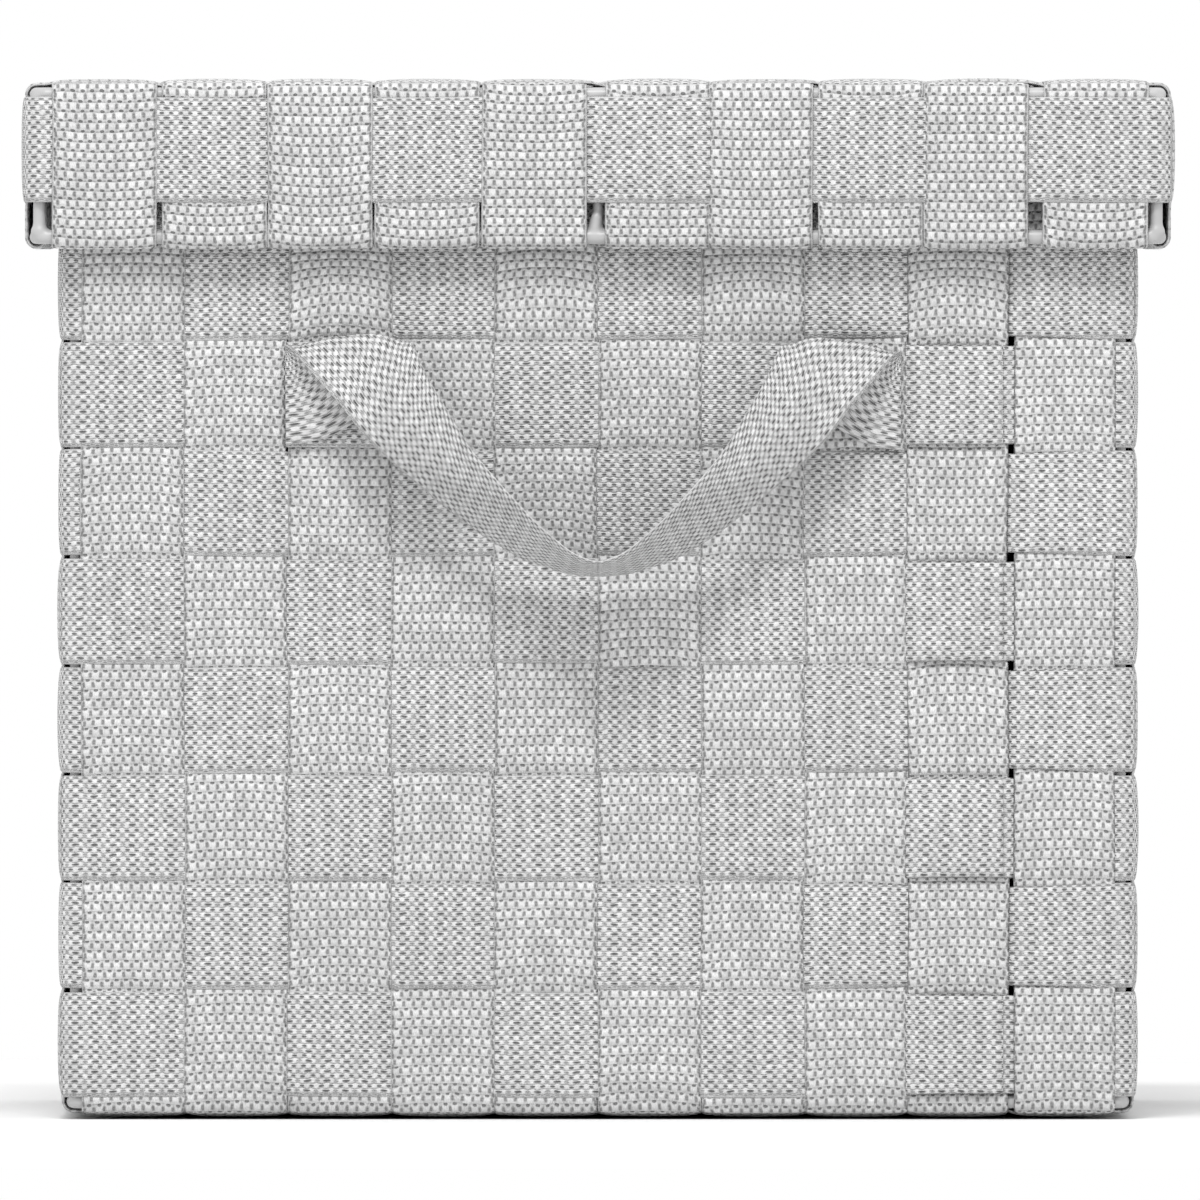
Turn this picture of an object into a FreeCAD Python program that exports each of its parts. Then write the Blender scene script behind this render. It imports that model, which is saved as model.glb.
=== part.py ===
import FreeCAD, Part
import math
import os

# Lidded storage bin woven from webbing straps over a welded wire frame.
# Millimetres, +Z up, front at -Y, origin at the middle of the base.

# ---- driving dimensions ----
WEB_W = 24.0            # webbing width, pulled in a little by the weave
WEB_T = 1.1             # webbing thickness
LAYER_GAP = 0.1         # clearance between two crossing straps
SLOPE_CLEAR = 0.05      # clearance where a strap steps past a crossing strap's edge
RING_R = 1.75           # ring wire, coated
RING_BEND = 2.5         # centreline bend at the ring's corners
POST_R = 1.6            # corner posts
MID_POST_R = 1.35       # middle posts of the lid
MID_POST_INSET = 1.0    # middle posts sit this far inside the rings' centreline
WRAP_GAP = 0.05         # strap to wire
WRAP_STEPS = 4          # flats in each quarter turn of a strap
MAX_STEP_RUN = 2.5      # longest slope between two layers

COLUMNS = 10            # straps across each wall
ROWS = 9                # hoops round the body
ROW_PITCH = 26.0
ROW_FIRST_H = 13.7      # lowest hoop's middle above the bottom ring
BIN_HALF = 126.0        # ring centreline to the middle plane
BIN_COLUMN_PITCH = 24.8
BIN_RING_Z = 4.1        # bottom ring centreline above the floor
BIN_DEPTH = 240.4       # bottom ring to top ring
BIN_TAIL = 24.0         # strap ends folded down inside the top ring

LID_HALF = 134.7
LID_COLUMN_PITCH = 26.0
LID_CENTRE_SPREAD = 3.8  # extra room for the middle posts
LID_TOP_RING_Z = 245.9
LID_DEPTH = 34.2
LID_HOOP_H = 13.3       # hoop's middle below the lid's top ring
LID_TAIL = 20.0

HOOP_JOIN_COLUMN = 9    # column where every hoop's ends are sewn together
HANDLE_ROW_H = 169.7    # height of the handle's sewn ends above the bottom ring
HANDLE_END_X = (52.0, 74.2)
HANDLE_T = 1.4
HANDLE_STAND_OFF = 0.1  # sewn ends in front of the outer layer

# Free loop of the handle, from its fold to its middle: the upper selvage as sewn, then the lower.
# Each point is x, distance in front of the wall, height above the floor.
HANDLE_EDGE_T = ((-66.0, 8.5, 175.0), (-58.2, 11.5, 165.6), (-43.8, 10.0, 152.9),
                 (-22.6, 5.6, 136.9), (0.0, 2.8, 130.2))
HANDLE_EDGE_B = ((-47.0, 8.5, 187.0), (-42.0, 14.5, 179.5), (-32.0, 20.5, 162.5),
                 (-16.0, 25.0, 144.6), (0.0, 26.0, 133.6))
HANDLE_STEPS = 32       # flat pieces that make up the loop

# ---- derived ----
INNER_LO = RING_R + WRAP_GAP
INNER_HI = INNER_LO + WEB_T
OUTER_LO = INNER_HI + LAYER_GAP
OUTER_HI = OUTER_LO + WEB_T
PATCH_HI = OUTER_HI + WEB_T
QUARTER = math.pi / 2
BIN_TOP_RING_Z = BIN_RING_Z + BIN_DEPTH
LID_LOW_RING_Z = LID_TOP_RING_Z - LID_DEPTH


def column_centres(pitch, centre_spread=0.0):
    """Middle of each strap along a wall, from the first column to the last."""
    centres = []
    for index in range(COLUMNS):
        offset = (index - (COLUMNS - 1) / 2) * pitch
        centres.append(offset + math.copysign(centre_spread / 2, offset))
    return centres


def surface(over, outward):
    """Distance of one face of the strap from the wires' plane, in its outer or inner layer."""
    if over:
        return OUTER_HI if outward else OUTER_LO
    return INNER_HI if outward else INNER_LO


def weave(stops):
    """Two lists of (distance along, distance out), the strap's outward and inward faces.

    Each stop is (start, end, over): the stretch where the strap lies flat in one layer.
    """
    outward = [(stops[0][0], surface(stops[0][2], True))]
    inward = [(stops[0][0], surface(stops[0][2], False))]
    for before, after in zip(stops, stops[1:]):
        if before[2] == after[2]:
            continue
        run = min(after[0] - before[1], MAX_STEP_RUN)
        middle = (before[1] + after[0]) / 2
        start = middle - run / 2
        end = middle + run / 2
        going_in = before[2]
        out_shift = 0.0 if going_in else SLOPE_CLEAR
        in_shift = SLOPE_CLEAR - out_shift
        outward.append((start + out_shift, surface(before[2], True)))
        outward.append((end + out_shift - SLOPE_CLEAR, surface(after[2], True)))
        inward.append((start + in_shift, surface(before[2], False)))
        inward.append((end + in_shift - SLOPE_CLEAR, surface(after[2], False)))
    outward.append((stops[-1][1], surface(stops[-1][2], True)))
    inward.append((stops[-1][1], surface(stops[-1][2], False)))
    return outward, inward


def arc_points(centre, radius, start, sweep, end_radius=None):
    """Points on a turn, without its first and last, whose radius may change evenly on the way."""
    if end_radius is None:
        end_radius = radius
    count = max(1, round(abs(sweep) / QUARTER * WRAP_STEPS))
    points = []
    for index in range(1, count):
        part = index / count
        angle = start + sweep * part
        here = radius + (end_radius - radius) * part
        points.append((centre[0] + here * math.cos(angle), centre[1] + here * math.sin(angle)))
    return points


def strap_face(half, depth, tail, hoops, hoop_over, floor_over, columns):
    """Outline of one strap that runs down a wall, across the closed face and up the other wall.

    Points are (across, height from the closed face's ring towards the open ring). hoops lists the
    hoops' middles in that height. hoop_over(side, row) and floor_over(index) say where it is outside.
    """
    reach = WEB_W / 2
    low_to_high = sorted(range(len(hoops)), key=lambda row: hoops[row])
    faces = []
    for outward in (True, False):
        wrap = surface(False, outward)
        points = [(-half + wrap, depth - tail)]
        points.append((-half + wrap, depth))
        points += arc_points((-half, depth), wrap, 0.0, math.pi)
        walls = []
        for side in (0, 1):
            stops = [(0.0, 0.0, False)]
            for row in low_to_high:
                stops.append((hoops[row] - reach, hoops[row] + reach, hoop_over(side, row)))
            stops.append((depth, depth, False))
            walls.append(weave(stops)[0 if outward else 1])
        stops = [(-half, -half, False)]
        for index, middle in enumerate(columns):
            stops.append((middle - reach, middle + reach, floor_over(index)))
        stops.append((half, half, False))
        floor = weave(stops)[0 if outward else 1]
        points += [(-half - out, along) for along, out in reversed(walls[0])]
        points += arc_points((-half, 0.0), wrap, math.pi, QUARTER)
        points += [(along, -out) for along, out in floor]
        points += arc_points((half, 0.0), wrap, 3 * QUARTER, QUARTER)
        points += [(half + out, along) for along, out in walls[1]]
        points += arc_points((half, depth), wrap, 0.0, math.pi)
        points += [(half - wrap, depth), (half - wrap, depth - tail)]
        faces.append(points)
    return faces[0] + faces[1][::-1]


def polygon_wire(points, place):
    """Closed wire through the points, mapped to space by place(a, b), without repeats."""
    corners = []
    for a, b in points:
        corner = FreeCAD.Vector(*place(a, b))
        if not corners or corner.distanceToPoint(corners[-1]) > 1e-6:
            corners.append(corner)
    return Part.makePolygon(corners + [corners[0]])


def strap_solid(points, middle, along_x, ring_z, up):
    """Extrude a strap's outline by the webbing's width about the middle of its column."""
    start = middle - WEB_W / 2
    if along_x:
        wire = polygon_wire(points, lambda a, h: (a, start, ring_z + up * h))
        return Part.Face(wire).extrude(FreeCAD.Vector(0, WEB_W, 0))
    wire = polygon_wire(points, lambda a, h: (start, a, ring_z + up * h))
    return Part.Face(wire).extrude(FreeCAD.Vector(WEB_W, 0, 0))


def straps(prefix, half, depth, tail, hoops, first_row, columns, ring_z, up):
    """The straps of one woven box: a set that runs front to back and a set that runs side to side.

    A strap is outside a hoop where row plus column is even on the front wall. Round the box the
    two change places at every crossing, which gives the other walls and the closed face.
    """
    made = {}
    for index, middle in enumerate(columns):
        column = index + 1

        def front_back(side, row, column=column):
            return (first_row + row + column + side) % 2 == 0

        def side_side(side, row, column=column):
            return (first_row + row + column + 1 - side) % 2 == 0

        near = first_row + len(hoops) - 1

        def floor_front_back(crossing, column=column, near=near):
            return (near + column + crossing + 1) % 2 == 0

        def floor_side_side(crossing, column=column, near=near):
            return (near + column + crossing) % 2 == 0

        points = strap_face(half, depth, tail, hoops, front_back, floor_front_back, columns)
        name = f"{prefix}_strap_front_back_{column:02d}"
        made[name] = strap_solid(points, middle, False, ring_z, up)
        points = strap_face(half, depth, tail, hoops, side_side, floor_side_side, columns)
        name = f"{prefix}_strap_side_side_{column:02d}"
        made[name] = strap_solid(points, middle, True, ring_z, up)
    return made


def hoop_outline(half, columns, row, outward):
    """One face of a hoop seen from above, anticlockwise from the front wall's first column."""
    reach = WEB_W / 2
    points = []
    straight = half - RING_BEND
    for wall in range(4):
        stops = []
        for index, middle in enumerate(columns):
            strap_over = (row + wall * COLUMNS + index) % 2 == 1
            stops.append((middle - reach, middle + reach, not strap_over))
        stops[0] = (-straight,) + stops[0][1:]
        stops[-1] = (stops[-1][0], straight, stops[-1][2])
        line = weave(stops)[0 if outward else 1]
        turn = wall * QUARTER
        cos = round(math.cos(turn))
        sin = round(math.sin(turn))
        local = [(along, -half - out) for along, out in line]
        start = surface(stops[-1][2], outward) + RING_BEND
        end = surface(not stops[-1][2], outward) + RING_BEND
        local += arc_points((straight, -straight), start, -QUARTER, QUARTER, end)
        points += [(x * cos - y * sin, x * sin + y * cos) for x, y in local]
    return points


def hoop(half, columns, row, middle_z, join_wall_back=False):
    """A hoop woven round the four walls, with its doubled ends at the joining column."""
    low = middle_z - WEB_W / 2
    outer = Part.Face(polygon_wire(hoop_outline(half, columns, row, True), lambda x, y: (x, y, low)))
    inner = Part.Face(polygon_wire(hoop_outline(half, columns, row, False), lambda x, y: (x, y, low)))
    band = outer.cut(inner).extrude(FreeCAD.Vector(0, 0, WEB_W))
    middle_x = columns[HOOP_JOIN_COLUMN - 1]
    hoop_over = (row + HOOP_JOIN_COLUMN - 1) % 2 == 0
    if join_wall_back:
        hoop_over = not hoop_over
    if hoop_over:
        near, far = OUTER_LO + WEB_T / 2, PATCH_HI
    else:
        near, far = INNER_LO - WEB_T, INNER_LO + WEB_T / 2
    start_y = half + near if join_wall_back else -half - far
    doubled = Part.makeBox(WEB_W - 1.0, far - near, WEB_W,
                           FreeCAD.Vector(middle_x - WEB_W / 2 + 0.5, start_y, low))
    return band.fuse(doubled).removeSplitter()


def ring(half, z):
    """Closed square ring of wire with small bent corners."""
    straight = half - RING_BEND
    solid = None
    for turn in range(4):
        run = Part.makeCylinder(RING_R, 2 * straight, FreeCAD.Vector(-straight, -half, z),
                                FreeCAD.Vector(1, 0, 0))
        profile = Part.Face(Part.Wire(Part.makeCircle(RING_R, FreeCAD.Vector(straight, -half, z),
                                                      FreeCAD.Vector(1, 0, 0))))
        bend = profile.revolve(FreeCAD.Vector(straight, -straight, z), FreeCAD.Vector(0, 0, 1), 90)
        side = run.fuse(bend)
        side.rotate(FreeCAD.Vector(0, 0, z), FreeCAD.Vector(0, 0, 1), 90 * turn)
        solid = side if solid is None else solid.fuse(side)
    return solid.removeSplitter()


def posts(places, radius, low_ring, high_ring, low_z, high_z):
    """Upright wires coped on to the rings above and below them, as one group."""
    made = []
    for x, y in places:
        post = Part.makeCylinder(radius, high_z - low_z, FreeCAD.Vector(x, y, low_z))
        made.append(post.cut(low_ring).cut(high_ring).Solids)
    return Part.makeCompound([max(solids, key=lambda solid: solid.Volume) for solids in made])


def corner_places(half):
    """Corner posts stand under the middle of the rings' bends."""
    at = half - RING_BEND * (1 - math.sqrt(0.5))
    return [(x, y) for x in (-at, at) for y in (-at, at)]


def frame_wires(prefix, half, low_z, high_z, mid_posts):
    """The welded frame of one box: two rings, corner posts and, on the lid, a post per side."""
    low = ring(half, low_z)
    high = ring(half, high_z)
    made = {f"{prefix}_frame_bottom_ring": low, f"{prefix}_frame_top_ring": high}
    made[f"{prefix}_frame_corner_posts"] = posts(corner_places(half), POST_R, low, high, low_z, high_z)
    if mid_posts:
        at = half - MID_POST_INSET
        places = [(0, -at), (at, 0), (0, at), (-at, 0)]
        made[f"{prefix}_frame_middle_posts"] = posts(places, MID_POST_R, low, high, low_z, high_z)
    return made


def handle_loop(wall_y):
    """Free part of the handle, a band between two smooth edges, mirrored about the middle."""
    def smooth_edge(edge):
        points = [FreeCAD.Vector(x, wall_y - out, z) for x, out, z in edge]
        points += [FreeCAD.Vector(-p.x, p.y, p.z) for p in reversed(points[:-1])]
        curve = Part.BSplineCurve()
        curve.interpolate(Points=points, Parameters=[float(i) for i in range(len(points))])
        last = len(points) - 1
        return [curve.value(last * i / HANDLE_STEPS) for i in range(HANDLE_STEPS + 1)]

    upper = smooth_edge(HANDLE_EDGE_T)
    lower = smooth_edge(HANDLE_EDGE_B)
    rings = []
    for index, (a, b) in enumerate(zip(upper, lower)):
        before = max(index - 1, 0)
        after = min(index + 1, len(upper) - 1)
        travel = (upper[after] + lower[after]) - (upper[before] + lower[before])
        normal = (b - a).cross(travel).normalize() * (HANDLE_T / 2)
        rings.append((a - normal, a + normal, b + normal, b - normal))
    faces = []
    for first, second in zip(rings, rings[1:]):
        for corner in range(3):
            faces.append((first[corner], first[corner + 1], second[corner + 1]))
            faces.append((first[corner], second[corner + 1], second[corner]))
        # the back is split along the same diagonal as the front, so the two never cross
        faces.append((first[3], first[0], second[3]))
        faces.append((first[0], second[0], second[3]))
    for a, b, c, d in (reversed(rings[0]), rings[-1]):
        faces.append((a, b, c))
        faces.append((a, c, d))
    shell = Part.makeShell([Part.Face(Part.makePolygon(list(face) + [face[0]])) for face in faces])
    solid = Part.makeSolid(shell)
    return solid if solid.Volume > 0 else solid.reversed()


def handle_end(side, wall_y, middle_z):
    """One sewn end of the handle, flat on the front wall."""
    near_x, far_x = HANDLE_END_X
    x = near_x if side > 0 else -far_x
    corner = FreeCAD.Vector(x, wall_y - HANDLE_STAND_OFF - WEB_T, middle_z - WEB_W / 2)
    return Part.makeBox(far_x - near_x, WEB_T, WEB_W, corner)


def build_bin():
    columns = column_centres(BIN_COLUMN_PITCH)
    hoops = [ROW_FIRST_H + (ROWS - 1 - row) * ROW_PITCH for row in range(ROWS)]
    made = straps("bin", BIN_HALF, BIN_DEPTH, BIN_TAIL, hoops, 0, columns, BIN_RING_Z, 1)
    for row, height in enumerate(hoops):
        made[f"bin_hoop_{row + 1:02d}"] = hoop(BIN_HALF, columns, row, BIN_RING_Z + height)
    made.update(frame_wires("bin", BIN_HALF, BIN_RING_Z, BIN_TOP_RING_Z, False))
    wall_y = -BIN_HALF - OUTER_HI
    made["handle_strap"] = handle_loop(wall_y)
    for name, side in (("left", -1), ("right", 1)):
        made[f"handle_end_{name}"] = handle_end(side, wall_y, BIN_RING_Z + HANDLE_ROW_H)
    return made


def build_lid():
    columns = column_centres(LID_COLUMN_PITCH, LID_CENTRE_SPREAD)
    made = straps("lid", LID_HALF, LID_DEPTH, LID_TAIL, [LID_HOOP_H], 1, columns, LID_TOP_RING_Z, -1)
    made["lid_hoop"] = hoop(LID_HALF, columns, 1, LID_TOP_RING_Z - LID_HOOP_H, join_wall_back=True)
    made.update(frame_wires("lid", LID_HALF, LID_LOW_RING_Z, LID_TOP_RING_Z, True))
    return made


def main():
    os.makedirs("parts", exist_ok=True)
    made = build_bin()
    made.update(build_lid())
    for name, shape in made.items():
        shape.exportStep(f"parts/{name}.step")
        print(f"{name:32s} {len(shape.Solids)} solids {shape.Volume:9.1f} mm3 valid {shape.isValid()}")
    print(len(made), "nodes")


main()
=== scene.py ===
import math
import random

import bpy
import numpy as np
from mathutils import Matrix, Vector


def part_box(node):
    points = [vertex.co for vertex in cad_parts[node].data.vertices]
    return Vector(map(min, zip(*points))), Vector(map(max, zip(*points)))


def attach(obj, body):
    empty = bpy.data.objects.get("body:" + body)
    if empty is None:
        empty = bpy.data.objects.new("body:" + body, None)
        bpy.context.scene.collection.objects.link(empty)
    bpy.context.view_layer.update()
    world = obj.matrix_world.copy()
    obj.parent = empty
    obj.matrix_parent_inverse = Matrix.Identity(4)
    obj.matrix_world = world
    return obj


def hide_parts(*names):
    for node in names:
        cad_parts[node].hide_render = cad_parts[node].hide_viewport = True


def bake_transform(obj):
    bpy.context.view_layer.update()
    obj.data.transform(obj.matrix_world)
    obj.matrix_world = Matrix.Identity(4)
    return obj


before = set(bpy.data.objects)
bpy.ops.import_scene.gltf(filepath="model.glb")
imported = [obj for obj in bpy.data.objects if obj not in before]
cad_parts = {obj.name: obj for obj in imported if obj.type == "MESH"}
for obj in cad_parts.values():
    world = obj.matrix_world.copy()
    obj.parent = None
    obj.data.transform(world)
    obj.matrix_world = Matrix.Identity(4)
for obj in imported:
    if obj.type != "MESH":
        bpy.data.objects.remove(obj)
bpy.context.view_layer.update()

# ---- sizes, in metres ----
WEB_W = 0.0250              # webbing width
LID_WEB_W = 0.0253          # the lid's webbing lies a little wider
WEB_T = 0.00115             # webbing thickness
RING_R = 0.00175            # coated ring wire
WRAP_R = RING_R + WEB_T / 2 + 0.00003   # strap's middle round a ring
LAYER = 0.00060             # a strap's middle stands this far in or out at a crossing
CROWN = 0.00042             # how far a square puffs up at its middle
BOW = 0.0005                # how far the weave's rows curve across a strap
STEP_POWER = 8              # how sharply a strap dives between two crossings
STATION = 0.0016            # spacing of the rows of a strap's mesh
ACROSS = 13                 # mesh columns across a strap
EDGE_POWER = 6.0            # roundness of a strap's edges
RING_BEND = 0.0025          # bend radius at the rings' corners
TURN_STEPS = 12             # rows of mesh round half a ring's wire
CORNER_STEPS = 8            # rows of mesh round a box corner
COLUMNS = 10
JOIN_COLUMN = 8             # ninth column, where the hoops' ends are sewn
BIN_TAIL = 0.024            # end of a bin strap, folded inside
LID_TAIL = 0.020            # end of a lid strap, folded inside
LAP = WEB_T * 1.02          # step of a hoop's end over its own start
LAP_SINK = 0.0007           # how far the upper end sinks again where it stops

YARN_ACROSS = 0.00118       # one warp yarn
YARN_ALONG = 0.00233        # one float of a warp yarn
SELVAGE_FROM = 0.0117       # distance of the selvage's loops from the strap's middle
EDGE_HEIGHT = 0.62          # relief of the strap's thin edge, where 1 is a float's top
FIBRE_SCALE = (4200.0, 1300.0, 1.0)
WEAVE_RELIEF = 0.0008       # depth of the weave's relief
YARN_TONES_WITH_PAINTED_SHADE = ((0.0, 0.11), (0.20, 0.19), (0.45, 0.41), (0.70, 0.57), (1.0, 0.64))   # height, grey: the yarn's grey at a float's top, painted darker lower down as shade in the weave's hollows


# ---- places taken from the frame ----
def middle(node, axis):
    low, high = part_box(node)
    return (low[axis] + high[axis]) / 2


def ring_place(prefix, which):
    """Half width and height of a ring's centreline."""
    low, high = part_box(f"{prefix}_frame_{which}_ring")
    return (high[0] - low[0]) / 2 - RING_R, (low[2] + high[2]) / 2


BIN_HALF, BIN_LOW_Z = ring_place("bin", "bottom")
BIN_TOP_Z = ring_place("bin", "top")[1]
LID_HALF, LID_LOW_Z = ring_place("lid", "bottom")
LID_TOP_Z = ring_place("lid", "top")[1]
BIN_COLUMNS = [middle(f"bin_strap_front_back_{c:02d}", 0) for c in range(1, COLUMNS + 1)]
LID_COLUMNS = [middle(f"lid_strap_front_back_{c:02d}", 0) for c in range(1, COLUMNS + 1)]
BIN_ROWS = [middle(f"bin_hoop_{r:02d}", 2) for r in range(1, 10)]
LID_ROW = middle("lid_hoop", 2)
WALL_OUT = 0.0041           # from the rings' centreline out to the wall's face
WALL_Y = -(BIN_HALF + WALL_OUT)


# ---- mesh building ----
def smooth_noise(rng, waves=3, low=18.0, high=70.0):
    """A gentle random function of distance, made of a few sines, about -1 to 1."""
    parts = []
    for _ in range(waves):
        parts.append((rng.uniform(low, high), rng.uniform(0, math.tau), rng.uniform(0.5, 1.0)))
    total = sum(p[2] for p in parts)
    return lambda t: sum(a * np.sin(k * t + p) for k, p, a in parts) / total


def strap_mesh(name, section, uv_u, uv_v, columns, flip):
    """Closed strap from rings of points, each across the top and back along the underside."""
    count, ring = section.shape[:2]
    faces = []
    for i in range(count - 1):
        a, b = i * ring, (i + 1) * ring
        for j in range(ring):
            k = (j + 1) % ring
            faces.append((a + j, b + j, b + k, a + k))
    last = (count - 1) * ring
    for j in range(columns - 1):
        low_a = (ring - j) % ring
        low_b = columns - 1 if j == columns - 2 else ring - j - 1
        corners = list(dict.fromkeys([j, j + 1, low_b, low_a]))
        if len(corners) > 2:
            faces.append(tuple(corners))
            faces.append(tuple(last + c for c in reversed(corners)))
    if flip:
        faces = [tuple(reversed(face)) for face in faces]
    mesh = bpy.data.meshes.new(name)
    mesh.from_pydata(section.reshape(-1, 3).tolist(), [], faces)
    layer = mesh.uv_layers.new(name="strap")
    index = np.empty(len(mesh.loops), dtype=np.int32)
    mesh.loops.foreach_get("vertex_index", index)
    flat = np.stack([uv_u.reshape(-1), uv_v.reshape(-1)], axis=1)[index] + 0.5
    layer.data.foreach_set("uv", flat.reshape(-1).astype(np.float32))
    mesh.polygons.foreach_set("use_smooth", np.ones(len(mesh.polygons), dtype=bool))
    mesh.update()
    piece = bpy.data.objects.new(name, mesh)
    bpy.context.scene.collection.objects.link(piece)
    return piece


def ribbon(name, centre, across, outward, width, shift_v, crown, bow):
    """A closed strap: a rounded flat section carried along its middle line.

    Its UV map is in metres: u from the strap's middle, v along it.
    """
    u = np.sin(np.linspace(-math.pi / 2, math.pi / 2, ACROSS))
    edge = np.sqrt(np.clip(1 - np.abs(u) ** EDGE_POWER, 0, 1)) * WEB_T / 2
    step = np.linalg.norm(np.diff(centre, axis=0), axis=1)
    along = np.concatenate([[0], np.cumsum(step)]) + shift_v
    half = (width / 2)[:, None]
    puff = crown[:, None] * (1 - u[None, :] ** 2)
    base = centre[:, None, :] + across[:, None, :] * (u[None, :, None] * half[:, :, None])
    base = base + outward[:, None, :] * puff[:, :, None]
    top = base + outward[:, None, :] * edge[None, :, None]
    low = base - outward[:, None, :] * edge[None, :, None]
    section = np.concatenate([top, low[:, ACROSS - 2:0:-1]], axis=1)
    us = np.concatenate([u, u[ACROSS - 2:0:-1]])
    uv_u = us[None, :] * half
    uv_v = along[:, None] + bow[:, None] * (1 - us[None, :] ** 2)
    return strap_mesh(name, section, uv_u, uv_v, ACROSS, False)


def line(start, end, spacing=STATION):
    """Distances from start to end, evenly spaced, without the end itself."""
    count = max(2, int(round(abs(end - start) / spacing)))
    return np.linspace(start, end, count, endpoint=False)


def undulation(t, bounds, signs, crowns):
    """Offset of a strap's middle and its crown at distances t, for given crossings."""
    offset = np.zeros_like(t)
    crown = np.zeros_like(t)
    for (low, high), sign, puff in zip(bounds, signs, crowns):
        tau = (t - (low + high) / 2) / ((high - low) / 2)
        inside = np.abs(tau) < 1
        offset = np.where(inside, sign * LAYER * (1 - np.abs(tau) ** STEP_POWER), offset)
        crown = np.where(inside, sign * puff * (1 - tau ** 2), crown)
    return offset, crown


def seams(middles, outer_reach):
    """The two ends of each crossing, which meet halfway between neighbouring straps."""
    ordered = sorted(middles)
    cuts = [ordered[0] - outer_reach] + [(a + b) / 2 for a, b in zip(ordered, ordered[1:])]
    cuts.append(ordered[-1] + outer_reach)
    return list(zip(cuts, cuts[1:]))


def box_strap(name, rng, half, depth, tail, rows, row_over, columns, floor_over, place, reach,
              puffs, wide, slim=0.0, slip=0.0):
    """One strap down a wall, across the closed face and up the far wall, its ends folded inside.

    rows are the hoops' heights above the closed face's ring. place(s, h, a) gives the point in
    space for a place in the strap's own plane and a step sideways out of it. slim and slip are
    how much narrower the strap is at its first wall and how far it has slipped sideways there.
    """
    wall_bounds = seams(rows, reach)
    floor_bounds = seams(columns, reach)
    order = sorted(rows)
    points = []

    def add(s, h, ns, nh, crown):
        points.append((s, h, ns, nh, crown))

    def wall(side, downward):
        heights = line(depth, 0) if downward else line(0, depth)
        signs = [1 if row_over(side, rows.index(h)) else -1 for h in order]
        crowns = [puffs(side, rows.index(h)) for h in order]
        offset, crown = undulation(heights, wall_bounds, signs, crowns)
        out = -1 if side == 0 else 1
        for h, w, c in zip(heights, offset, crown):
            add(out * (half + WRAP_R + w), h, out, 0, c)

    def turn(s, h, start, sweep, steps):
        for i in range(steps):
            a = start + sweep * i / steps
            add(s + WRAP_R * math.cos(a), h + WRAP_R * math.sin(a), math.cos(a), math.sin(a), 0)

    for h in line(depth - tail, depth):
        add(-half + WRAP_R, h, 1, 0, 0)
    turn(-half, depth, 0, math.pi, TURN_STEPS)
    wall(0, True)
    turn(-half, 0, math.pi, math.pi / 2, TURN_STEPS // 2)
    across = line(-half, half)
    signs = [1 if floor_over(i) else -1 for i in range(len(columns))]
    crowns = [CROWN * rng.uniform(0.5, 1.1) for _ in columns]
    offset, crown = undulation(across, floor_bounds, signs, crowns)
    for s, w, c in zip(across, offset, crown):
        add(s, -(WRAP_R + w), 0, -1, c)
    turn(half, 0, 3 * math.pi / 2, math.pi / 2, TURN_STEPS // 2)
    wall(1, False)
    turn(half, depth, 0, math.pi, TURN_STEPS)
    for h in line(depth, depth - tail):
        add(half - WRAP_R, h, -1, 0, 0)
    data = np.array(points)
    t = np.concatenate([[0], np.cumsum(np.hypot(np.diff(data[:, 0]), np.diff(data[:, 1])))])
    nearness = np.clip(0.5 - data[:, 0] / (2 * half), 0, 1)
    drift = smooth_noise(rng)(t) * 0.00030 + slip * nearness
    width = (wide - slim * nearness) * (1 + 0.012 * smooth_noise(rng, 4, 40, 240)(t) - 0.002)
    bow = BOW + 0.0009 * smooth_noise(rng, 3, 30, 110)(t)
    # the rows curve more on a fuller square
    bow = bow + 3.5 * np.maximum(data[:, 4] - 0.00056, 0)
    origin = np.array(place(0, 0, 0))
    axis_s = np.array(place(1, 0, 0)) - origin
    axis_h = np.array(place(0, 1, 0)) - origin
    axis_a = np.array(place(0, 0, 1)) - origin
    centre = origin + data[:, :1] * axis_s + data[:, 1:2] * axis_h + drift[:, None] * axis_a
    outward = data[:, 2:3] * axis_s + data[:, 3:4] * axis_h
    across_dir = np.tile(axis_a, (len(data), 1))
    if np.dot(np.cross(centre[1] - centre[0], across_dir[0]), outward[0]) < 0:
        across_dir = -across_dir
    return ribbon(name, centre, across_dir, outward, width, rng.uniform(0, 0.3), data[:, 4], bow)


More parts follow.
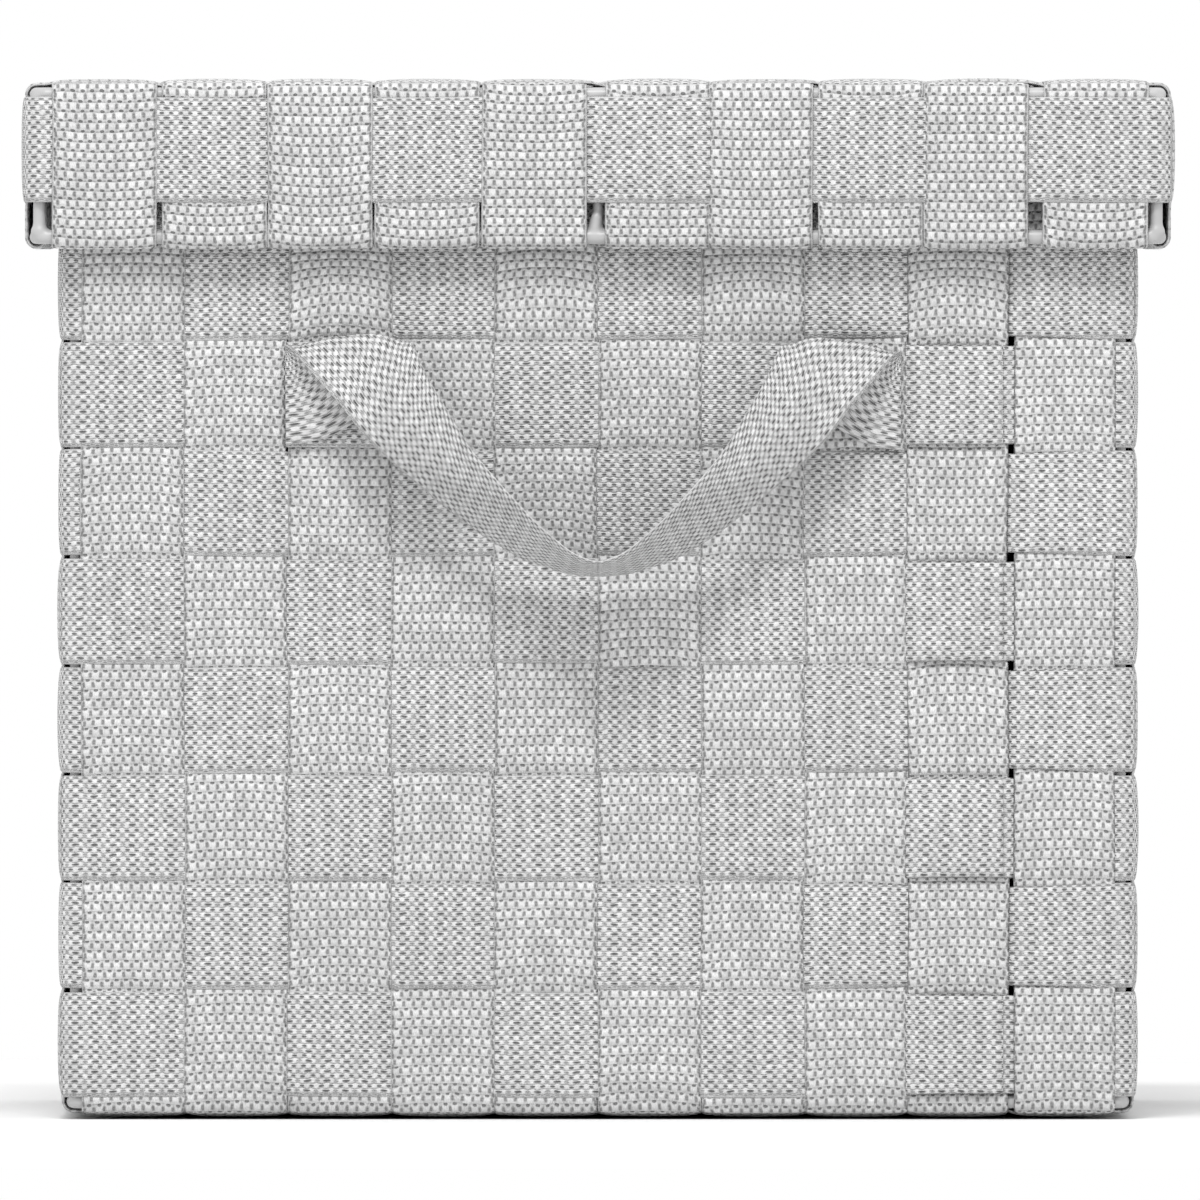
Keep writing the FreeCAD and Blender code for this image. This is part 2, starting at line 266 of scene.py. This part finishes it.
def hoop_strap(name, rng, half, columns, row, height, puffs, narrow, join_wall=0):
    """A hoop woven from its joining column round the four walls and over its own start."""
    straight = half - RING_BEND
    radius = RING_BEND + WRAP_R
    bounds = seams(columns, columns[1] - columns[0])
    bounds = [(max(low, -straight), min(high, straight)) for low, high in bounds]
    bounds[0] = (-straight, bounds[0][1])
    bounds[-1] = (bounds[-1][0], straight)
    points = []

    def is_over(wall, index):
        return (row + wall * COLUMNS + index) % 2 == 0

    def wall_points(wall, xs, extra=None):
        signs = [1 if is_over(wall, i) else -1 for i in range(COLUMNS)]
        crowns = [puffs(wall, i) for i in range(COLUMNS)]
        offset, crown = undulation(xs, bounds, signs, crowns)
        if extra is not None:
            offset = offset + extra(xs)
        turn = wall * math.pi / 2
        c, s = math.cos(turn), math.sin(turn)
        for x, w, puff in zip(xs, offset, crown):
            y = -(half + WRAP_R + w)
            points.append((x * c - y * s, x * s + y * c, s, -c, puff, wall, x))

    def corner(wall):
        for i in range(CORNER_STEPS):
            a = -math.pi / 2 + (math.pi / 2) * i / CORNER_STEPS
            x, y = straight + radius * math.cos(a), -straight + radius * math.sin(a)
            turn = wall * math.pi / 2
            c, s = math.cos(turn), math.sin(turn)
            nx, ny = math.cos(a), math.sin(a)
            points.append((x * c - y * s, x * s + y * c, nx * c - ny * s, nx * s + ny * c, 0,
                           wall, straight))

    low, high = bounds[JOIN_COLUMN]
    over_here = is_over(join_wall, JOIN_COLUMN)

    def blend_in(xs, a, b):
        part = np.clip((xs - a) / (b - a), 0, 1)
        return part * part * (3 - 2 * part)

    def first(xs):
        if over_here:
            return -LAP * (1 - blend_in(xs, low - 0.004, low + 0.002))
        return -LAP * (1 - blend_in(xs, high - 0.003, high + 0.001))

    def second(xs):
        if over_here:
            rise = LAP * blend_in(xs, low - 0.002, low + 0.002)
            return rise - LAP_SINK * blend_in(xs, high - 0.003, high)
        return np.zeros_like(xs)

    start = low - 0.006 if over_here else low + 0.001
    wall_points(join_wall, line(start, straight), first)
    corner(join_wall)
    for step_wall in range(1, 4):
        wall = (join_wall + step_wall) % 4
        wall_points(wall, line(-straight, straight))
        corner(wall)
    end = high - 0.0003 if over_here else high - 0.004
    wall_points(join_wall, line(-straight, end), second)
    data = np.array(points)
    t = np.concatenate([[0], np.cumsum(np.hypot(np.diff(data[:, 0]), np.diff(data[:, 1])))])
    drift = smooth_noise(rng)(t) * 0.00040
    width = WEB_W * (1.012 + 0.012 * smooth_noise(rng)(t))
    from_join = (data[:, 6] - columns[JOIN_COLUMN] - 0.005) / 0.022
    near_join = (data[:, 5] == join_wall) * np.exp(-from_join ** 4)
    width = width * (1 - narrow * near_join)
    drift = drift * (1 - near_join)
    bow = 0.0010 * smooth_noise(rng, 3, 30, 110)(t)
    centre = np.column_stack([data[:, 0], data[:, 1], height + drift])
    outward = np.column_stack([data[:, 2], data[:, 3], np.zeros(len(data))])
    across = np.tile(np.array([0.0, 0.0, 1.0]), (len(data), 1))
    return ribbon(name, centre, across, outward, width, rng.uniform(0, 0.3), data[:, 4], bow)


# ---- materials ----
class Value:
    """A number in a material's node tree, for use in formulas."""

    def __init__(self, nodes, socket):
        self.nodes = nodes
        self.socket = socket

    def __add__(self, other):
        return self.nodes.math("ADD", self, other)

    def __sub__(self, other):
        return self.nodes.math("SUBTRACT", self, other)

    def __rsub__(self, other):
        return self.nodes.math("SUBTRACT", other, self)

    def __mul__(self, other):
        return self.nodes.math("MULTIPLY", self, other)

    def __truediv__(self, other):
        return self.nodes.math("DIVIDE", self, other)

    def __pow__(self, other):
        return self.nodes.math("POWER", self, other)

    def __mod__(self, other):
        return self.nodes.math("FLOORED_MODULO", self, other)


class Nodes:
    """Short way to write a material's node tree."""

    def __init__(self, name):
        self.material = bpy.data.materials.new(name)
        self.material.use_nodes = True
        self.tree = self.material.node_tree
        self.shader = self.tree.nodes["Principled BSDF"]

    def put(self, kind, **settings):
        node = self.tree.nodes.new(kind)
        for key, value in settings.items():
            setattr(node, key, value)
        return node

    def out(self, node, name):
        return Value(self, node.outputs[name])

    def feed(self, value, node, name):
        """Give a node's input a value from the tree, or a plain number."""
        if isinstance(value, Value):
            self.tree.links.new(value.socket, node.inputs[name])
        else:
            node.inputs[name].default_value = value

    def math(self, operation, *values):
        node = self.put("ShaderNodeMath", operation=operation)
        for index, value in enumerate(values):
            self.feed(value, node, index)
        return self.out(node, 0)

    def floor(self, value):
        return self.math("FLOOR", value)

    def size(self, value):
        return self.math("ABSOLUTE", value)

    def noise(self, vector, scale, detail=3.0, roughness=0.6):
        node = self.put("ShaderNodeTexNoise")
        self.feed(vector, node, "Vector")
        self.feed(scale, node, "Scale")
        self.feed(detail, node, "Detail")
        self.feed(roughness, node, "Roughness")
        return self.out(node, "Fac")

    def remap(self, value, low, high, new_low, new_high):
        """Carry a value from between two limits to between two others, and hold it there."""
        node = self.put("ShaderNodeMapRange")
        self.feed(value, node, "Value")
        self.feed(low, node, "From Min")
        self.feed(high, node, "From Max")
        self.feed(new_low, node, "To Min")
        self.feed(new_high, node, "To Max")
        return self.out(node, "Result")

    def vary(self, noise, low, high):
        """Spread the middle of a noise between two limits."""
        return self.remap(noise, 0.3, 0.7, low, high)

    def pit(self, distance):
        """1 in the middle of a pit and 0 outside it, from the square of a distance from there."""
        return self.math("MINIMUM", self.math("MAXIMUM", 1.15 - distance, 0.0) * 1.25, 1.0)

    def grey_surface(self, tone, relief=None, strength=1.0, distance=0.0):
        """Give the shader a grey colour and, if there is one, a relief."""
        colour = self.put("ShaderNodeCombineColor")
        for channel in range(3):
            self.feed(tone, colour, channel)
        self.feed(self.out(colour, 0), self.shader, "Base Color")
        if relief is not None:
            bump = self.put("ShaderNodeBump")
            self.feed(strength, bump, "Strength")
            self.feed(distance, bump, "Distance")
            self.feed(relief, bump, "Height")
            self.feed(self.out(bump, 0), self.shader, "Normal")


def hoop_weave(n, across, along):
    """Relief of the brick-like weave on the hoops: holes in alternate yarns, where the floats
    dive. The same height paints the holes, the grooves between yarns and the floats' ends darker,
    as shade.
    """
    # floats spread sideways into the holes their neighbours leave
    lean = n.math("COSINE", along * math.tau) * n.math("COSINE", across * math.pi)
    across = across - lean * 0.10
    column = n.floor(across)
    odd = column % 2.0
    even = 1.0 - odd
    phase = along + odd * 0.5
    hole_index = n.floor(phase + 0.5)
    from_hole = n.size(phase - hole_index)
    from_axis = n.size(across - column - 0.5)
    # every second hole of every second yarn is long and deep, the others are slighter; the deeper
    # a hole, the darker it is painted, as shade
    deep = even * (1.0 - hole_index % 2.0)
    depth = deep * 0.38 + odd * 0.30 + 0.44
    length = deep * 0.11 + even * 0.02 + 0.25
    width = 0.27
    hole = n.pit((from_hole / length) ** 2.0 + (from_axis / width) ** 2.0) * depth
    groove = (from_axis * 2.0) ** 3.0 * 0.40
    dip = (1.0 - from_hole * 2.0) ** 1.5 * 0.22
    return 1.0 - hole - groove - dip, column, n.floor(phase)


def upright_weave(n, across, along):
    """Relief of the same webbing on an upright strap, drawn as it looks lit from above: rows of
    arched floats, each with side slots and a notch. The same height paints the slots, the notch,
    which is the shadow under a float's end, and each float away from its crest darker, as shade.
    """
    row = n.floor(along)
    across = across * 0.5 + row % 2.0 * 0.25
    column = n.floor(across)
    up = along - row
    from_axis = n.size(across - column - 0.5) * 2.0
    from_crest = n.size(up - 0.58)
    slot = n.remap(from_axis, 0.60, 0.88, 0.0, 1.0) * n.remap(from_crest, 0.14, 0.36, 1.0, 0.0)
    notch = n.pit((from_axis / 0.46) ** 2.0 + ((up - 0.12) / 0.15) ** 2.0)
    fall = from_axis ** 2.0 * 0.20 + (from_crest * 2.0) ** 1.4 * 0.38
    return 1.0 - slot * 0.54 - notch * 0.52 - fall, column, row


def webbing_material(name, weave):
    """Grey polypropylene webbing, with the relief of its weave as drawn for the level hoops or the
    upright straps, and painted shade in that relief's lower places.
    """
    n = Nodes(name)
    uv = n.out(n.put("ShaderNodeUVMap", uv_map="strap"), "UV")
    split = n.put("ShaderNodeSeparateXYZ")
    n.feed(uv, split, 0)
    from_centre = n.out(split, "X") - 0.5
    wobble = n.vary(n.noise(uv, 260.0, 2.0, 0.5), -0.17, 0.17)
    across = from_centre / YARN_ACROSS + wobble
    along = n.out(split, "Y") / YARN_ALONG + wobble * 0.35
    height, column, float_index = weave(n, across, along)
    height = n.math("MAXIMUM", height, 0.0)
    # loops of the filling yarn along the selvage, with painted shade between the loops, and the
    # strap's thin edge, which is plain
    from_middle = n.size(from_centre)
    selvage = n.remap(from_middle, SELVAGE_FROM, SELVAGE_FROM + 0.0003, 0.0, 1.0)
    loop = n.size(n.math("FRACT", along) - 0.5)
    height = height * (1.0 - selvage * n.remap(loop, 0.20, 0.34, 0.10, 0.62))
    edge = n.remap(from_middle, SELVAGE_FROM + 0.0004, SELVAGE_FROM + 0.0007, 0.0, 1.0)
    height = height + edge * (EDGE_HEIGHT - height)
    # each float is a little lighter or darker, and finely streaked along its fibres
    cell = n.put("ShaderNodeCombineXYZ")
    n.feed(column, cell, 0)
    n.feed(float_index, cell, 1)
    white = n.put("ShaderNodeTexWhiteNoise", noise_dimensions="2D")
    n.feed(n.out(cell, 0), white, "Vector")
    fibre_map = n.put("ShaderNodeMapping")
    fibre_map.inputs["Scale"].default_value = FIBRE_SCALE
    n.feed(uv, fibre_map, "Vector")
    fibre = n.noise(n.out(fibre_map, 0), 1.0, 2.0, 0.6)
    cloud = n.noise(n.out(n.put("ShaderNodeTexCoord"), "Object"), 28.0, 3.0, 0.55)
    # the weave's height also sets its grey: lower places are painted darker, as shade in the
    # holes, grooves, slots and notches
    ramp = n.put("ShaderNodeValToRGB")
    while len(ramp.color_ramp.elements) < len(YARN_TONES_WITH_PAINTED_SHADE):
        ramp.color_ramp.elements.new(0.5)
    for element, (at, tone) in zip(ramp.color_ramp.elements, YARN_TONES_WITH_PAINTED_SHADE):
        element.position = at
        element.color = (tone, tone, tone, 1.0)
    n.feed(height, ramp, 0)
    tone = n.out(ramp, 0) * n.remap(n.out(white, "Value"), 0.0, 1.0, 0.88, 1.12)
    tone = tone * n.vary(fibre, 0.84, 1.16) * n.vary(cloud, 0.96, 1.04)
    n.grey_surface(tone, height + fibre * 0.24, 1.0, WEAVE_RELIEF)
    n.feed(n.remap(height, 0.0, 1.0, 0.85, 0.46), n.shader, "Roughness")
    n.feed(0.10, n.shader, "Sheen Weight")
    n.feed(0.5, n.shader, "Sheen Roughness")
    n.feed(0.4, n.shader, "Specular IOR Level")
    return n.material


def coating_material():
    """Smooth light grey plastic coating over the wire."""
    n = Nodes("wire_coating")
    place = n.out(n.put("ShaderNodeTexCoord"), "Object")
    fine = n.noise(place, 420.0, 3.0, 0.5)
    broad = n.noise(place, 35.0, 2.0, 0.5)
    n.grey_surface(n.vary(broad, 0.42, 0.46) * n.vary(fine, 0.97, 1.03), fine, 0.25, 0.0002)
    n.feed(n.vary(fine, 0.34, 0.46), n.shader, "Roughness")
    return n.material


def floor_material():
    """Plain pale floor."""
    n = Nodes("studio_floor")
    place = n.out(n.put("ShaderNodeTexCoord"), "Object")
    n.grey_surface(n.vary(n.noise(place, 3.0), 0.80, 0.82))
    n.feed(0.9, n.shader, "Roughness")
    return n.material


WEBBING = webbing_material("webbing_weave", hoop_weave)
# the upright straps get their weave drawn as it looks lit from above, with painted shade
WEBBING_UPRIGHT_PAINTED_SHADE = webbing_material("webbing_upright_painted_shade", upright_weave)
COATING = coating_material()


def finish_piece(piece, body, nodes, material=None):
    piece.data.materials.append(material or WEBBING)
    if body is not None:
        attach(piece, body)
    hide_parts(*nodes)


# ---- the woven straps ----
def puff_chooser(rng, big=None):
    """Crown height of each square, with the few squares that stand out fuller."""
    def choose(side, index):
        if big and (side, index) in big:
            return big[(side, index)]
        return CROWN * rng.uniform(0.55, 1.25)
    return choose


# how far each front-back strap has slipped sideways on the front. The bin's last two also stand
# apart, and are a little narrower, where the hoops' doubled ends push between them
BIN_SLIP = [0.0, -0.0002, 0.0001, 0.0, -0.0001, 0.0001, 0.0, 0.0, -0.0004, 0.0005]
LID_SLIP = [0.0004, 0.0009, 0.0002, 0.0, -0.0005, -0.0005, -0.0017, -0.0014, -0.0021, 0.0005]
BIN_SLIM = [0.0] * 8 + [0.0006] * 2
LID_SLIM = [0.0] * COLUMNS
# crown of the squares of the front that stand out fullest, by column and row
FULL_FRONT = {(3, 1): 0.0009, (5, 1): 0.0008, (7, 1): 0.0009, (9, 1): 0.0008}
BIN_JOIN_NARROWER = 0.06
LID_JOIN_NARROWER = 0.02
LID_JOIN_WALL = 2           # the back


def weave_box(body, half, depth, tail, rows, first_row, columns, ring_z, up, full_squares,
              slips, slims, wide):
    """The straps of the bin or the lid, front to back and side to side."""
    last_row = first_row + len(rows) - 1
    reach = (columns[1] - columns[0]) / 2
    for column, at in enumerate(columns, 1):
        rng = random.Random(f"{body} front back {column}")
        name = f"{body}_strap_front_back_{column:02d}"
        full = {(0, row): puff for (col, row), puff in full_squares.items() if col == column}

        def over_fb(side, row, column=column):
            return (first_row + row + column + side) % 2 == 0

        def floor_fb(crossing, column=column):
            return (last_row + column + crossing + 1) % 2 == 0

        def place_fb(s, h, a, x=at):
            return (x + a, s, ring_z + up * h)

        piece = box_strap(name + "_web", rng, half, depth, tail, rows, over_fb, columns, floor_fb,
                          place_fb, reach, puff_chooser(rng, full), wide, slims[column - 1],
                          slips[column - 1])
        finish_piece(piece, body, [name], WEBBING_UPRIGHT_PAINTED_SHADE)
        rng = random.Random(f"{body} side side {column}")
        name = f"{body}_strap_side_side_{column:02d}"

        def over_ss(side, row, column=column):
            return (first_row + row + column + 1 - side) % 2 == 0

        def floor_ss(crossing, column=column):
            return (last_row + column + crossing) % 2 == 0

        def place_ss(s, h, a, y=at):
            return (s, y + a, ring_z + up * h)

        piece = box_strap(name + "_web", rng, half, depth, tail, rows, over_ss, columns, floor_ss,
                          place_ss, reach, puff_chooser(rng), wide)
        finish_piece(piece, body, [name], WEBBING_UPRIGHT_PAINTED_SHADE)


weave_box("bin", BIN_HALF, BIN_TOP_Z - BIN_LOW_Z, BIN_TAIL, [z - BIN_LOW_Z for z in BIN_ROWS], 0,
          BIN_COLUMNS, BIN_LOW_Z, 1, FULL_FRONT, BIN_SLIP, BIN_SLIM, WEB_W)
weave_box("lid", LID_HALF, LID_TOP_Z - LID_LOW_Z, LID_TAIL, [LID_TOP_Z - LID_ROW], 1,
          LID_COLUMNS, LID_TOP_Z, -1, {}, LID_SLIP, LID_SLIM, LID_WEB_W)
for row, height in enumerate(BIN_ROWS):
    rng = random.Random(f"bin hoop {row}")
    node = f"bin_hoop_{row + 1:02d}"
    piece = hoop_strap(node + "_web", rng, BIN_HALF, BIN_COLUMNS, row, height, puff_chooser(rng),
                       BIN_JOIN_NARROWER)
    finish_piece(piece, "bin", [node])
rng = random.Random("lid hoop")
piece = hoop_strap("lid_hoop_web", rng, LID_HALF, LID_COLUMNS, 1, LID_ROW, puff_chooser(rng),
                   LID_JOIN_NARROWER, LID_JOIN_WALL)
finish_piece(piece, "lid", ["lid_hoop"])

# ---- the handle ----
# Left half, from the sewn end to the middle: distance along, then three points of the strap's
# section (upper selvage as sewn, crest, lower selvage) and how far across the width the crest
# lies. Each point is x, distance in front of the wall, height, in millimetres.
HANDLE_SECTIONS = (
    (-12, (-74.9, 0.7, 185.8), (-74.9, 0.7, 173.8), (-74.9, 0.7, 161.8), 0.50),
    (-9, (-74.9, 1.0, 185.8), (-71.9, 1.4, 174.2), (-68.7, 1.0, 162.4), 0.50),
    (-6, (-74.9, 1.4, 185.8), (-69.2, 2.0, 175.2), (-62.3, 1.4, 163.6), 0.50),
    (-3, (-74.8, 2.0, 185.8), (-66.5, 3.0, 178.5), (-56.6, 2.2, 168.0), 0.45),
    (0, (-74.4, 3.0, 185.5), (-69.0, 4.4, 187.0), (-53.0, 3.0, 174.0), 0.30),
    (5, (-71.2, 5.4, 182.2), (-66.0, 5.6, 188.2), (-51.0, 3.8, 178.0), 0.33),
    (10, (-68.0, 7.6, 178.5), (-58.0, 7.6, 189.0), (-48.8, 5.0, 182.2), 0.56),
    (15, (-64.7, 9.6, 174.8), (-50.0, 9.6, 189.6), (-46.2, 7.2, 186.0), 0.80),
    (20, (-61.4, 11.2, 171.2), (-50.2, 12.6, 182.4), (-44.8, 10.0, 187.4), 0.66),
    (26, (-57.4, 12.2, 165.4), (-49.2, 16.0, 174.6), (-42.8, 12.6, 182.4), 0.55),
    (34, (-51.2, 12.2, 159.2), (-45.0, 17.8, 167.5), (-40.2, 14.4, 177.0), 0.52),
    (42, (-45.5, 11.3, 154.2), (-39.8, 19.0, 161.8), (-36.8, 16.4, 171.4), 0.52),
    (52, (-37.8, 9.6, 147.8), (-32.8, 19.6, 154.0), (-30.6, 21.0, 161.0), 0.54),
    (64, (-28.6, 7.2, 140.6), (-24.8, 18.4, 146.0), (-22.8, 24.6, 151.8), 0.54),
    (78, (-18.2, 4.8, 134.4), (-15.5, 16.0, 138.5), (-14.6, 25.2, 143.0), 0.52),
    (90, (-8.0, 3.3, 131.0), (-6.8, 14.8, 133.6), (-6.4, 26.0, 136.0), 0.50),
    (99, (0.0, 2.8, 130.2), (0.0, 14.3, 132.2), (0.0, 26.2, 133.4), 0.50),
)
HANDLE_ACROSS = 21          # mesh columns across the handle
HANDLE_STEP = 1.0           # spacing of its rows, mm
LENGTH_SOFTNESS = 2.2       # how far its shape is averaged along it, mm
FOLD_SOFTNESS = 0.085       # and across it, as part of its width
FOLD_POINTS = 81
HANDLE_OUTER_X = 0.075      # where the handle's sewn ends stop
RIGHT_NARROWER = 0.03       # the right half reaches less far out
RIGHT_DROP = 0.0013         # and is sewn a little lower


def soften(rows, spread, mirror_end=None):
    """Gaussian average along the first axis, with both ends kept or the last one mirrored."""
    reach = max(1, int(round(3 * spread)))
    front = 2 * rows[0] - rows[reach:0:-1]
    back = rows[-2:-reach - 2:-1]
    back = 2 * rows[-1] - back if mirror_end is None else back * mirror_end
    padded = np.concatenate([front, rows, back])
    weights = np.exp(-0.5 * (np.arange(-reach, reach + 1) / spread) ** 2)
    weights = weights / weights.sum()
    return sum(w * padded[i:i + len(rows)] for i, w in enumerate(weights))


def handle_half(name, side, narrower, drop):
    """Half of the handle as a closed strap whose section folds over near the sewn end."""
    at = np.array([row[0] for row in HANDLE_SECTIONS], dtype=float)
    values = np.array([[*row[1], *row[2], *row[3], row[4]] for row in HANDLE_SECTIONS])
    count = int(round((at[-1] - at[0]) / HANDLE_STEP)) + 1
    along = np.linspace(at[0], at[-1], count)
    rows = np.column_stack([np.interp(along, at, values[:, k]) for k in range(10)])
    mirror = np.array([-1, 1, 1] * 3 + [1], dtype=float)
    rows = soften(rows, LENGTH_SOFTNESS / HANDLE_STEP, mirror)
    fine = np.linspace(0, 1, FOLD_POINTS)
    q = (1 + np.sin(np.linspace(-math.pi / 2, math.pi / 2, HANDLE_ACROSS))) / 2
    grid = []
    for row in rows:
        upper, crest, lower, part = row[0:3], row[3:6], row[6:9], row[9]
        first = (fine / part)[:, None]
        second = ((fine - part) / (1 - part))[:, None]
        to_crest = upper + (crest - upper) * first
        bent = np.where(first < 1, to_crest, crest + (lower - crest) * second)
        bent = soften(bent, FOLD_SOFTNESS * (FOLD_POINTS - 1))
        grid.append(np.column_stack([np.interp(q, fine, bent[:, k]) for k in range(3)]))
    surface = np.array(grid) / 1000
    outer = np.clip(-surface[:, :, 0] / HANDLE_OUTER_X, 0, 1)
    surface[:, :, 2] -= drop * outer
    surface[:, :, 0] *= -side * (1 - narrower * outer)
    surface[:, :, 1] = WALL_Y - surface[:, :, 1]
    du = np.gradient(surface, axis=1)
    dv = np.gradient(surface, axis=0)
    normal = np.cross(dv, du)
    normal = normal / np.linalg.norm(normal, axis=2)[:, :, None]
    u = 2 * q - 1
    edge = np.sqrt(np.clip(1 - np.abs(u) ** EDGE_POWER, 0, 1)) * WEB_T / 2
    top = surface + normal * edge[None, :, None]
    low = surface - normal * edge[None, :, None]
    section = np.concatenate([top, low[:, HANDLE_ACROSS - 2:0:-1]], axis=1)
    us = np.concatenate([u, u[HANDLE_ACROSS - 2:0:-1]])
    uv_u = np.tile(us * WEB_W / 2, (count, 1))
    uv_v = np.tile(along[:, None] / 1000, (1, len(us)))
    return strap_mesh(name, section, uv_u, uv_v, HANDLE_ACROSS, side > 0)


HALVES = ((-1, "left", 0.0, 0.0), (1, "right", RIGHT_NARROWER, RIGHT_DROP))
for side, word, narrower, drop in HALVES:
    half_strap = handle_half(f"handle_web_{word}", side, narrower, drop)
    finish_piece(half_strap, None, ["handle_strap", f"handle_end_{word}"])
    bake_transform(half_strap)


# ---- the wires, welded together ----
BALL_RINGS = 10
WELD_VOXEL = 0.00045
WELD_RISE = 0.0012          # a corner weld sits this far inside the frame from a ring's height
WELD_INSET = 0.0007
LID_WELD_R = 0.0022
BIN_WELD_R = 0.0020
POST_INSET = 0.0010         # the middle posts stand this far inside the rings
FOOT_STEPS = 6
FOOT_HIGH = 0.0046
FOOT_LEAN = 0.0010
FOOT_R = 0.00150
FOOT_SPREAD = 0.00035


def ball(centre, radius):
    """Points and faces of a small round lump of weld."""
    around = 2 * BALL_RINGS
    points, faces = [], []
    for i in range(BALL_RINGS + 1):
        a = math.pi * i / BALL_RINGS
        flat = radius * math.sin(a)
        for j in range(around):
            b = math.pi * j / BALL_RINGS
            points.append((centre[0] + flat * math.cos(b), centre[1] + flat * math.sin(b),
                           centre[2] + radius * math.cos(a)))
    for i in range(BALL_RINGS):
        here, below = i * around, (i + 1) * around
        for j in range(around):
            k = (j + 1) % around
            faces.append((here + j, below + j, below + k, here + k))
    return points, faces


def welded(name, body, nodes, lumps):
    """One smooth body from several wires and lumps of weld."""
    points, faces = [], []
    for node in nodes:
        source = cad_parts[node].data
        start = len(points)
        points += [tuple(v.co) for v in source.vertices]
        faces += [tuple(start + i for i in p.vertices) for p in source.polygons]
    for centre, radius in lumps:
        start = len(points)
        more, skin = ball(centre, radius)
        points += more
        faces += [tuple(start + i for i in face) for face in skin]
    mesh = bpy.data.meshes.new(name)
    mesh.from_pydata(points, [], faces)
    piece = bpy.data.objects.new(name, mesh)
    bpy.context.scene.collection.objects.link(piece)
    remesh = piece.modifiers.new("weld", "REMESH")
    remesh.mode = "VOXEL"
    remesh.voxel_size = WELD_VOXEL
    relax = piece.modifiers.new("relax", "SMOOTH")
    relax.factor = 0.5
    relax.iterations = 4
    bpy.context.view_layer.update()
    graph = bpy.context.evaluated_depsgraph_get()
    shaped = bpy.data.meshes.new_from_object(piece.evaluated_get(graph))
    piece.modifiers.clear()
    piece.data = shaped
    shaped.name = name
    shaped.polygons.foreach_set("use_smooth", np.ones(len(shaped.polygons), dtype=bool))
    shaped.materials.clear()
    finish_piece(piece, body, nodes, COATING)


def corner_welds(half, low, high, radius):
    """Lumps of weld where the corner posts meet the rings."""
    place = half - WELD_INSET
    lumps = []
    for z in (low + WELD_RISE, high - WELD_RISE):
        lumps += [((sx * place, sy * place, z), radius) for sx in (-1, 1) for sy in (-1, 1)]
    return lumps


def foot_welds(half, low, high):
    """The lid's middle posts lean over onto the lower ring in a thick weld and touch the upper."""
    lumps = []
    post = half - POST_INSET
    for wall in range(4):
        c, s = math.cos(wall * math.pi / 2), math.sin(wall * math.pi / 2)
        for i in range(FOOT_STEPS + 1):
            down = i / FOOT_STEPS
            x = -0.0003 - FOOT_LEAN * down
            y = -post - 0.0006
            lumps.append(((x * c - y * s, x * s + y * c, low + FOOT_HIGH * (1 - down)),
                          FOOT_R + FOOT_SPREAD * down))
        lumps.append(((post * s, -post * c, high - 0.0014), 0.0017))
    return lumps


welded("lid_frame_welded", "lid",
       ["lid_frame_bottom_ring", "lid_frame_top_ring", "lid_frame_corner_posts",
        "lid_frame_middle_posts"],
       corner_welds(LID_HALF, LID_LOW_Z, LID_TOP_Z, LID_WELD_R)
       + foot_welds(LID_HALF, LID_LOW_Z, LID_TOP_Z))
welded("bin_frame_welded", "bin",
       ["bin_frame_bottom_ring", "bin_frame_top_ring", "bin_frame_corner_posts"],
       corner_welds(BIN_HALF, BIN_LOW_Z, BIN_TOP_Z, BIN_WELD_R))

# ---- studio ----
FLOOR_HALF = 0.7
FLOOR_DROP = 0.0002         # the floor lies just under the base
CAMERA_AWAY = 11.0
CAMERA_X = 0.0005
CAMERA_HIGH = 0.209         # level with the lid's lower edge
AIM_HIGH = 0.1246
FRONT_Y = -0.1345
FRAME_WIDE = 0.288          # width of the picture at the bin's front
SENSOR_WIDE = 12.0

floor_mesh = bpy.data.meshes.new("studio_floor")
floor_mesh.from_pydata([(x * FLOOR_HALF, y * FLOOR_HALF, 0)
                        for x, y in ((-1, -1), (1, -1), (1, 1), (-1, 1))], [], [(0, 1, 2, 3)])
floor = bpy.data.objects.new("studio_floor", floor_mesh)
floor.location.z = -FLOOR_DROP
bpy.context.scene.collection.objects.link(floor)
floor_mesh.materials.append(floor_material())

world = bpy.data.worlds.new("studio")
bpy.context.scene.world = world
world.use_nodes = True
background = world.node_tree.nodes["Background"]
background.inputs["Color"].default_value = (1.0, 1.0, 1.0, 1.0)
background.inputs["Strength"].default_value = 1.0


def area_light(name, place, target, size, power):
    light = bpy.data.lights.new(name, "AREA")
    light.shape = "DISK"
    light.size = size
    light.energy = power
    lamp = bpy.data.objects.new(name, light)
    bpy.context.scene.collection.objects.link(lamp)
    lamp.location = place
    direction = Vector(target) - Vector(place)
    lamp.rotation_euler = direction.to_track_quat("-Z", "Y").to_euler()


area_light("key", (-0.14, -1.4, 2.05), (0, 0, 0.13), 0.6, 30.0)

camera_data = bpy.data.cameras.new("camera")
camera_data.sensor_width = SENSOR_WIDE
camera_data.lens = SENSOR_WIDE * CAMERA_AWAY / FRAME_WIDE
camera_data.clip_end = 100.0
camera = bpy.data.objects.new("camera", camera_data)
bpy.context.scene.collection.objects.link(camera)
tilt = math.atan((CAMERA_HIGH - AIM_HIGH) / CAMERA_AWAY)
camera.location = (CAMERA_X, FRONT_Y - CAMERA_AWAY, CAMERA_HIGH)
camera.rotation_euler = (math.pi / 2 - tilt, 0, 0)
bpy.context.scene.camera = camera
bpy.context.scene.view_settings.view_transform = "Standard"
